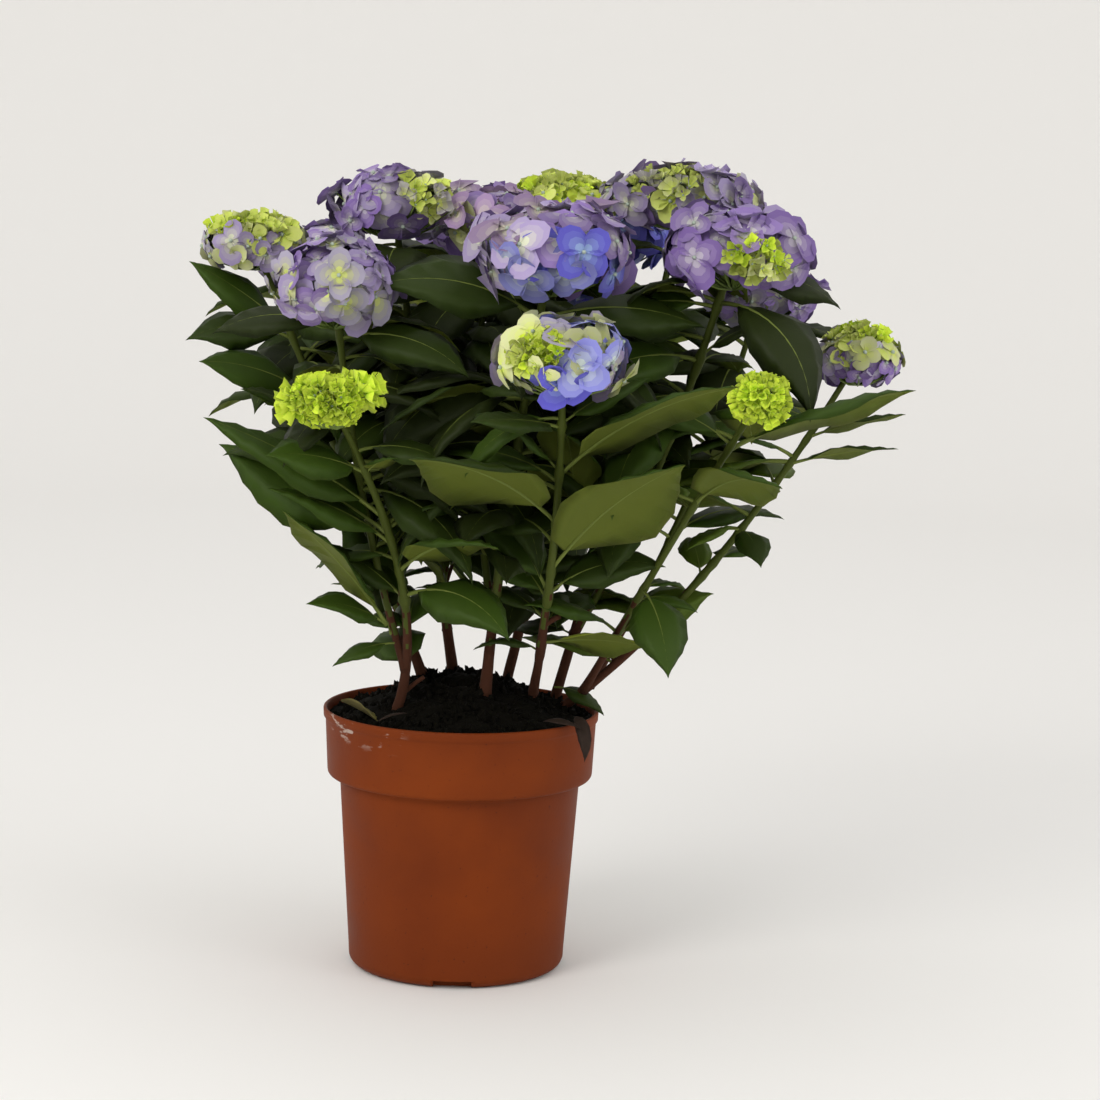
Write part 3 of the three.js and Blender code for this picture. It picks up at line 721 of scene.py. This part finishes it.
def addFlorets(name, ways, sizes, tintNames, young, inset):
    middle, half = domes[name]["middle"], domes[name]["half"]
    plan = floretPlan
    layer = 1 + np.array(plan["layers"])[np.arange(len(ways)) % 3][:, None]
    lobes = heads[name].get("lobes", plan["lobes"])
    layer = layer * (1 - lobes / 2 + lobes / 2 * ripple(*(ways * plan["lobeSize"]).T, len(name), 2))[:, None]
    for horn in heads[name].get("horns", ()):
        near = np.clip(ways @ unit(np.array(horn)), 0, 1) ** plan["hornPower"]
        layer = layer + plan["hornReach"] * near[:, None]
        sizes = sizes * (1 + plan["hornSize"] * near)
    florets["place"].append(middle + ways * np.maximum(half - inset, plan["least"] * mm) * layer)
    florets["way"].append(unit(unit(ways / half) + rng.normal(0, plan["tilt"], ways.shape)))
    florets["size"].append(sizes)
    florets["tint"] += list(tintNames)
    florets["young"].append(np.full(len(ways), young))
    florets["hub"].append(np.broadcast_to(middle - [0, 0, half[2] * plan["hubDrop"]], ways.shape))


for name, head in heads.items():
    plan, half = floretPlan, domes[name]["half"]
    heartWay = unit(np.array(head.get("heartWay", (0, 0, 1)), float))
    heartReach = head.get("heartReach", 0)
    # the area of the dome over the area of a floret, which fills that share of its square, times cover
    area = 2 * np.pi * (1 - plan["lowest"]) * (half[0] * half[1] + 2 * half[0] * half[2]) / 3
    count = int(plan["cover"] * area / (plan["filled"] * (head["size"] * mm) ** 2))
    ways = unit(spread(count, plan["lowest"]) + rng.normal(0, plan["scatter"], (count, 3)))
    angle = np.arccos(np.clip(ways @ heartWay, -1, 1))
    lower = ways[:, 2] < plan["lowEdge"]
    if "lowWay" in head:
        lower = ways @ unit(np.array(head["lowWay"])) > math.cos(head["lowReach"])
    names = []
    for k in range(count):
        choice = head["low"] if lower[k] and "low" in head else head["mix"]
        if "heart" in head and angle[k] < heartReach * plan["heartEdge"]:
            choice = head["heart"] + " turning"
        names.append(rng.choice(choice.split()))
    if head.get("buds"):
        outside = angle > heartReach
        ways, names = ways[outside], [n for n, o in zip(names, outside) if o]
    sizes = head["size"] * mm * rng.uniform(*plan["sizes"], len(ways))
    addFlorets(name, ways, sizes, names, 0, head["size"] * plan["inset"] * mm)
    if head.get("buds"):
        # enough points on the whole sphere to leave that many buds in the heart
        share = 1 if heartReach > 2 else 1.75 / (1 - math.cos(heartReach))
        ways = spread(int(head["buds"] * share), plan["budLowest"])
        ways = ways[np.arccos(np.clip(ways @ heartWay, -1, 1)) < heartReach][: head["buds"]]
        names = [rng.choice(head["heart"].split()) for _ in ways]
        sizes = rng.uniform(*head.get("budSize", plan["budSize"]), len(ways)) * mm
        addFlorets(name, ways, sizes, names, 1, head.get("budInset", plan["budInset"]) * mm)

for key in ("place", "way", "size", "young", "hub"):
    florets[key] = np.concatenate(florets[key])
florets["tint"] = np.array(florets["tint"])
print("florets:", len(florets["size"]))


# the three directions of a floret that faces way, spun about it
def turnedTo(way, spin):
    helper = np.where(np.abs(way[:, 2:]) < 0.9, [[0, 0, 1.0]], [[1.0, 0, 0]])
    side = unit(np.cross(helper, way))
    other = np.cross(way, side)
    c, s = np.cos(spin)[:, None], np.sin(spin)[:, None]
    return side * c + other * s, other * c - side * s, way


# Each of four sepals is a fan round the eye. Its margin is a circle whose middle lies centre of the way
# out, so at an angle it reaches centre cos + root(radius^2 - (centre sin)^2), plus a small point at its
# tip. Its rows are smaller copies of the margin. It is cupped with the square of the way out, lifted at
# both sides and waved, and every second one lies higher.
def sepals(floret, kind):
    count, plan = len(floret["size"]), dict(sepalPlan, **sepalPlan[kind])
    rows, columns = plan["rows"], plan["columns"]
    out = plan["base"] + (1 - plan["base"]) * np.linspace(0, 1, rows)[:, None] ** 0.9
    v = np.linspace(1, -1, columns)[None, :]
    angle = v * math.radians(plan["halfAngle"])
    across = plan["centre"] * np.sin(angle)
    reach = plan["centre"] * np.cos(angle) + np.sqrt(plan["radius"] ** 2 - across ** 2)
    reach = reach + plan["tip"] * (1 - np.abs(v)) ** 2
    each = (count, 4, 1, 1)
    long = floret["size"][:, None, None, None] / 2 * rng.uniform(*plan["long"], each)
    wide = rng.uniform(*plan["wide"], each)
    turn = (np.arange(4) * np.pi / 2)[None, :, None, None] + evenly(plan["turn"], each)
    cup = rng.uniform(*plan["cup"], each)
    cup = cup[:, :1] * 0.7 + cup * 0.3  # a floret's sepals are mostly cupped alike
    phase = rng.uniform(0, fullTurn, each)
    x = long * out * reach * np.cos(angle)
    y = long * out * reach * np.sin(angle) * wide
    z = long * (cup * out ** 2 + plan["lift"] * v ** 2 * out + plan["wave"] * np.sin(4 * v + phase) * out ** 2
                + plan["step"] * (np.arange(4) % 2)[None, :, None, None] * out)
    flatX, flatY = x * np.cos(turn) - y * np.sin(turn), x * np.sin(turn) + y * np.cos(turn)
    x3, y3, z3 = (w[:, None, None, None] for w in turnedTo(floret["way"], rng.uniform(0, fullTurn, count)))
    pts = flatX[..., None] * x3 + flatY[..., None] * y3 + z[..., None] * z3
    return (pts + floret["place"][:, None, None, None]).reshape(count * 4, rows, columns, 3)


# how much of the heart's colour each row of a sepal has, from the eye out
toneShares = (0.9, 0.48, 0.18, 0.0)
replacedBy = {
    "violet": ["bloom_" + n for n in heads if n not in ("left_front", "mid_top", "right_bud")],
    "lime": ["bloom_" + n for n in ("left_front", "mid_top", "right_bud")],
}
for tint, (edge, heart) in tints.items():
    finishes = []
    for shade in shades:
        for share in toneShares:
            colour = [(e + (h - e) * share) * shade for e, h in zip(edge, heart)]
            finishes.append(finish(f"sepal {tint} {len(finishes)}", colour, 0.62, 0.12, 0.12))
    gather = Gather()
    for young, kind in enumerate(("open", "young")):
        keep = (florets["tint"] == tint) & (florets["young"] == young)
        if keep.any():
            tone = np.arange(sepalPlan[kind]["rows"] - 1)[None, :, None]
            shadeOf = np.repeat(rng.integers(0, len(shades), keep.sum()), 4)[:, None, None]
            slots = len(toneShares) * shadeOf + tone + np.zeros(sepalPlan[kind]["columns"] - 1, int)
            gather.grid(sepals(someOf(florets, keep), kind), slots)
    gather.piece("florets_" + tint, finishes, replacedBy.get(tint, ()))

# each floret's eye: a bead of a few faces, set a little above the sepals
eyePlan = dict(open=1.6, young=1.0, rows=4, around=5, pole=0.15, above=0.4)
eyeRows = np.linspace(eyePlan["pole"], np.pi - eyePlan["pole"], eyePlan["rows"])[None, :, None]
eyeTurn = turns(eyePlan["around"])[None, None, :]
x3, y3, z3 = (w[:, None, None] for w in turnedTo(florets["way"], np.zeros(len(florets["size"]))))
bead = np.where(florets["young"] == 1, eyePlan["young"], eyePlan["open"])[:, None, None] * mm
eyes = (florets["place"][:, None, None] + (bead * np.sin(eyeRows) * np.cos(eyeTurn))[..., None] * x3
        + (bead * np.sin(eyeRows) * np.sin(eyeTurn))[..., None] * y3
        + (bead * (eyePlan["above"] + np.cos(eyeRows) + 0 * eyeTurn))[..., None] * z3)
addPiece("floret_eyes", eyes, 0, [finish("floret eye", (168, 182, 168), 0.6)], "bloom")

# each floret's stalk: a thin tube of four sides from the top of the limb out to the floret, bowed downwards
stalkPlan = dict(rows=4, sides=4, bow=12, thick=0.9, taper=0.35)
share = np.linspace(0, 1, stalkPlan["rows"])[None, :, None]
start, end = florets["hub"][:, None], florets["place"][:, None]
path = start + (end - start) * share + np.array([0, 0, -1]) * (share * (1 - share)) * stalkPlan["bow"] * mm
side = unit(np.cross(end - start, np.array([[[0.13, 0.2, 1.0]]])))[:, :, None]
up = unit(np.cross(side, (end - start)[:, :, None]))
turn = turns(stalkPlan["sides"])[None, None, :, None]
thick = (stalkPlan["thick"] - stalkPlan["taper"] * share[..., None]) * mm
stalks = path[:, :, None] + thick * (np.cos(turn) * side + np.sin(turn) * up)
addPiece("floret_stalks", stalks, 0, [finish("floret stalk", (112, 132, 62), 0.6)], "bloom")


potPlan = dict(around=144, wall=2.4, floor=3, hole=4, foot=40, bandBottom=133, collar=91.6, bodyTop=82.8,
    bodyFoot=74.8, rim=95, height=180, corner=7, tuck=1.6, bandRound=3.2, lip=8, lipRound=1.3, notches=4,
    notchWidth=26, notchHeight=5.4, notchDepth=20)


# points (cx + r cos, cz + r sin) of an arc
def arc(cx, cz, r, start, stop, count):
    a = np.radians(np.linspace(start, stop, count))
    return np.stack([cx + r * np.cos(a), cz + r * np.sin(a)], axis=1)


# the profile (radius, height) turned about the Z axis
def lathe(profile, around):
    turn = turns(around)
    r, z = profile[:, 0][:, None], profile[:, 1][:, None]
    return np.stack([r * np.cos(turn), r * np.sin(turn), z + 0 * turn], axis=-1) * mm


# up the outside from the foot to the rim's bead and down the inside again
def potProfile(p):
    band, wall, inner, lip = p["bandBottom"], p["wall"], p["bodyFoot"] - p["corner"], p["height"] - p["lip"]
    return np.concatenate([
        [[p["hole"], 0], [p["foot"], 0]], arc(inner, p["corner"], p["corner"], -90, 0, 8),
        np.linspace((p["bodyFoot"] + 0.3, 2 * p["corner"]), (p["bodyTop"], band - 3), 14),
        arc(p["bodyTop"] + p["tuck"], band - wall, p["tuck"], 180, 90, 4),
        arc(p["collar"] - p["bandRound"], band + p["bandRound"], p["bandRound"], -90, 0, 5),
        np.linspace((p["collar"] + 0.1, band + 5), (p["rim"] - p["tuck"], lip), 6),
        [[p["rim"] - 1.1, lip + 1], [p["rim"] - 0.2, lip + 2]],
        arc(p["rim"] - p["lipRound"], p["height"] - p["lipRound"], p["lipRound"], 0, 180, 7),
        [[p["rim"] - wall - 1, lip], [p["collar"] - wall, band + p["corner"]],
         [p["bodyTop"] - wall, band + 2], [p["bodyFoot"] - wall, p["corner"] + p["floor"]],
         [inner, p["floor"]], [p["hole"], p["floor"]]],
    ])


potFinish = finish("terracotta plastic", (108, 42, 8), 0.6, specular=0.12)
pot = addPiece("pot_shell", lathe(potProfile(potPlan), potPlan["around"]), 0, [potFinish], "pot", ["pot"])
for k in range(potPlan["notches"]):
    bpy.ops.mesh.primitive_cube_add(size=1)
    cutter = bpy.context.active_object
    size = np.array([potPlan["notchDepth"], potPlan["notchWidth"], potPlan["notchHeight"] * 2]) * mm
    place = Matrix.Translation((potPlan["bodyFoot"] * mm, 0, 0)) @ Matrix.Diagonal((*size, 1))
    cutter.data.transform(Matrix.Rotation(k * np.pi / 2, 4, "Z") @ place)
    cut = pot.modifiers.new("notch", "BOOLEAN")
    cut.operation, cut.object, cut.solver = "DIFFERENCE", cutter, "EXACT"
    bpy.context.view_layer.update()
    done = bpy.data.meshes.new_from_object(pot.evaluated_get(bpy.context.evaluated_depsgraph_get()))
    pot.modifiers.clear()
    old, pot.data = pot.data, done
    bpy.data.meshes.remove(old)
    bpy.data.objects.remove(cutter)


def ramp(mat, source, low, high, colours):
    made = node(mat, "ShaderNodeValToRGB")
    for element, position, colour in zip(made.color_ramp.elements, (low, high), colours):
        element.position, element.color = position, colour
    link(mat, source, made.inputs[0])
    return made.outputs[0]


def smoothStep(mat, source, low, high, top=1.0, bottom=0.0):
    made = node(mat, "ShaderNodeMapRange", interpolation_type="SMOOTHSTEP")
    for key, value in zip(("From Min", "From Max", "To Min", "To Max"), (low, high, bottom, top)):
        made.inputs[key].default_value = value
    link(mat, source, made.inputs["Value"])
    return made.outputs[0]


def product(mat, first, second):
    made = node(mat, "ShaderNodeMath", operation="MULTIPLY")
    link(mat, first, made.inputs[0])
    link(mat, second, made.inputs[1])
    return made.outputs[0]


def mixed(mat, factor, base, over):
    made = node(mat, "ShaderNodeMix", data_type="RGBA")
    made.inputs[7].default_value = over
    link(mat, factor, made.inputs[0])
    link(mat, base, made.inputs[6])
    return made.outputs[2]


# the third tone is a darker one laid low on the body
potTones = dict(deep=(103, 41, 6), light=(121, 52, 11), dust=(84, 34, 14), speck=(74, 32, 16),
    lime=(190, 172, 160))


# slow changes of tone, dark specks, a darker tone low on the body in patches, and pale lime marks under the
# front left of the rim
def potLooks(mat):
    shader = mat.node_tree.nodes["Principled BSDF"]
    place = node(mat, "ShaderNodeTexCoord").outputs["Object"]
    cloud, speck, marks = (node(mat, "ShaderNodeTexNoise", Scale=s, Detail=d)
                           for s, d in ((14.0, 4.0), (420.0, 2.0), (60.0, 6.0)))
    split = node(mat, "ShaderNodeSeparateXYZ")
    level = node(mat, "ShaderNodeVectorMath", operation="MULTIPLY")  # draws the marks out sideways
    level.inputs[1].default_value = (1, 1, 3)
    link(mat, place, level.inputs[0])
    for texture in (cloud, speck):
        link(mat, place, texture.inputs["Vector"])
    link(mat, level.outputs[0], marks.inputs["Vector"])
    link(mat, place, split.inputs[0])
    tone = ramp(mat, cloud.outputs[0], 0.32, 0.7, (srgb(potTones["deep"]), srgb(potTones["light"])))
    low = smoothStep(mat, split.outputs["Z"], 0.06, 0.0)
    # darker towards the bottom, in patches where the slow noise is high
    dust = product(mat, low, smoothStep(mat, cloud.outputs[0], 0.4, 0.7, 0.5))
    tone = mixed(mat, dust, tone, srgb(potTones["dust"]))
    specks = smoothStep(mat, speck.outputs[0], 0.68, 0.76, 0.6)
    tone = mixed(mat, specks, tone, srgb(potTones["speck"]))
    belt = product(mat, smoothStep(mat, split.outputs["Z"], 0.16, 0.172),
                   smoothStep(mat, split.outputs["X"], -0.03, -0.05))
    belt = product(mat, belt, smoothStep(mat, split.outputs["Y"], -0.03, -0.045))
    lime = product(mat, belt, smoothStep(mat, marks.outputs[0], 0.57, 0.64, 0.75))
    link(mat, mixed(mat, lime, tone, srgb(potTones["lime"])), shader.inputs["Base Color"])
    link(mat, smoothStep(mat, cloud.outputs[0], 0.25, 0.75, 0.7, 0.5), shader.inputs["Roughness"])
    bump = node(mat, "ShaderNodeBump", Strength=0.18, Distance=0.0005)
    link(mat, speck.outputs[0], bump.inputs["Height"])
    link(mat, bump.outputs["Normal"], shader.inputs["Normal"])


potLooks(potFinish)


soilPlan = dict(rings=46, around=150, radius=85.5, edge=174, mound=27, tilt=0.05, clod=2.6, clodWidth=7,
    crumbs=1200, heaped=320, heapReach=(3, 8.5), crumbReach=89, crumbSize=(0.8, 3.2), uneven=0.35,
    reach=(0.6, 91.4), crumbRise=(-0.4, 1.0), stretch=(0.6, 1.5))


# edge + mound cos(out quarter turns)^1.2, a little higher at the back, with clods on several scales, half
# as high at the edge
def soilHeight(x, y):
    plan = soilPlan
    out = np.clip(np.hypot(x, y) / plan["radius"], 0, 1)
    base = plan["edge"] + plan["mound"] * np.cos(out * np.pi / 2) ** 1.2 + plan["tilt"] * y * (1 - out)
    clods = plan["clod"] * ripple(x / plan["clodWidth"], y / plan["clodWidth"], 0 * x, 5, 4)
    return base + clods * (1 - 0.5 * out)


radii = np.linspace(*soilPlan["reach"], soilPlan["rings"])[:, None]
turn = turns(soilPlan["around"])
x, y = radii * np.cos(turn), radii * np.sin(turn)
top = np.stack([x, y, soilHeight(x, y)], axis=-1)
belowProfile = np.array([[91.2, 168.0], [89.2, 141.0], [79.6, 134.0], [78.0, 110.0], [40.0, 108.0],
                         [1.0, 108.0]])
soilFinish = finish("peat", (13, 11, 6), 0.95, specular=0.1)
addBump(soilFinish, 260, 0.9, 0.003, 8)
gather = Gather()
gather.grid(np.concatenate([top * mm, lathe(belowProfile, soilPlan["around"])]), 0, wrap=True, caps=True)
# crumbs: small uneven lumps of three rows by five, sunk in the surface
count = soilPlan["crumbs"]
r = soilPlan["crumbReach"] * np.sqrt(rng.uniform(0.02, 1, count))
a = rng.uniform(0, 2 * np.pi, count)
x, y = r * np.cos(a), r * np.sin(a)
feet = np.array([lines[n].at(0.02)[:2] / mm for n in limbs if kindOf(n) == "stem_"])
heaped = soilPlan["heaped"]
near = feet[np.arange(heaped) % len(feet)]  # the first crumbs are heaped round the feet of the stems
x[:heaped] = near[:, 0] + rng.uniform(*soilPlan["heapReach"], heaped) * np.cos(a[:heaped])
y[:heaped] = near[:, 1] + rng.uniform(*soilPlan["heapReach"], heaped) * np.sin(a[:heaped])
middle = np.stack([x, y, soilHeight(x, y) + rng.uniform(*soilPlan["crumbRise"], count)], axis=1)
rows = np.linspace(0.5, np.pi - 0.5, 3)[None, :, None]
around = turns(5)[None, None, :]
lump = rng.uniform(*soilPlan["crumbSize"], (count, 1, 1))
lump = lump * (1 + soilPlan["uneven"] * rng.normal(size=(count, 3, 5)))
stretch = rng.uniform(*soilPlan["stretch"], (count, 3))
ball = [lump * np.sin(rows) * np.cos(around), lump * np.sin(rows) * np.sin(around), lump * np.cos(rows)]
ball = np.stack(ball, axis=-1) * stretch[:, None, None]
gather.grid((middle[:, None, None] + ball) * mm, 0, wrap=True, caps=True)
gather.piece("soil_mound", [soilFinish], ["soil"])


# the studio: a pale floor that sweeps up into a low wall all round, two soft lights and an even sky
stagePlan = dict(flat=2700, sweep=1100, wall=1750, around=128)
flat, sweep = stagePlan["flat"], stagePlan["sweep"]
profile = np.concatenate([[[1, 0], [400, 0]], arc(flat, sweep, sweep, -90, 0, 24),
                          [[flat + sweep, stagePlan["wall"]]]])
gather = Gather()
gather.grid(lathe(profile, stagePlan["around"]) - [0, 0, 0.0005], 0, wrap=True)
floor = bpy.data.objects.new("floor", gather.mesh("floor", [finish("floor", (243, 242, 240), 0.8)]))
bpy.context.scene.collection.objects.link(floor)

world = bpy.data.worlds.new("studio")
bpy.context.scene.world = world
world.use_nodes = True
sky = world.node_tree.nodes["Background"].inputs
sky["Color"].default_value = (1, 0.985, 0.965, 1)
sky["Strength"].default_value = 0.85


def softLight(name, place, size, power, colour):
    data = bpy.data.lights.new(name, "AREA")
    data.shape, data.size, data.energy, data.color = "DISK", size, power, colour
    lamp = bpy.data.objects.new(name, data)
    aim = Vector((0.02, 0, 0.3)) - Vector(place)
    lamp.matrix_world = Matrix.Translation(place) @ aim.to_track_quat("-Z", "Y").to_matrix().to_4x4()
    bpy.context.scene.collection.objects.link(lamp)


softLight("key", (-1.4, -1.9, 1.7), 1.2, 24, (1, 0.98, 0.95))
softLight("fill", (1.9, -1.2, 1.1), 1.4, 8, (0.96, 0.98, 1))

data = bpy.data.cameras.new("camera")
data.lens, data.sensor_width = cameraPlan["lens"], 36
camera = bpy.data.objects.new("camera", data)
tilt, roll = math.radians(90 - cameraPlan["pitch"]), math.radians(cameraPlan["roll"])
aim = Matrix.Rotation(tilt, 4, "X") @ Matrix.Rotation(roll, 4, "Z")
camera.matrix_world = Matrix.Translation(cameraPlan["place"]) @ aim
bpy.context.scene.collection.objects.link(camera)
bpy.context.scene.camera = camera
bpy.context.scene.view_settings.view_transform = "Standard"
print("stage and camera done")
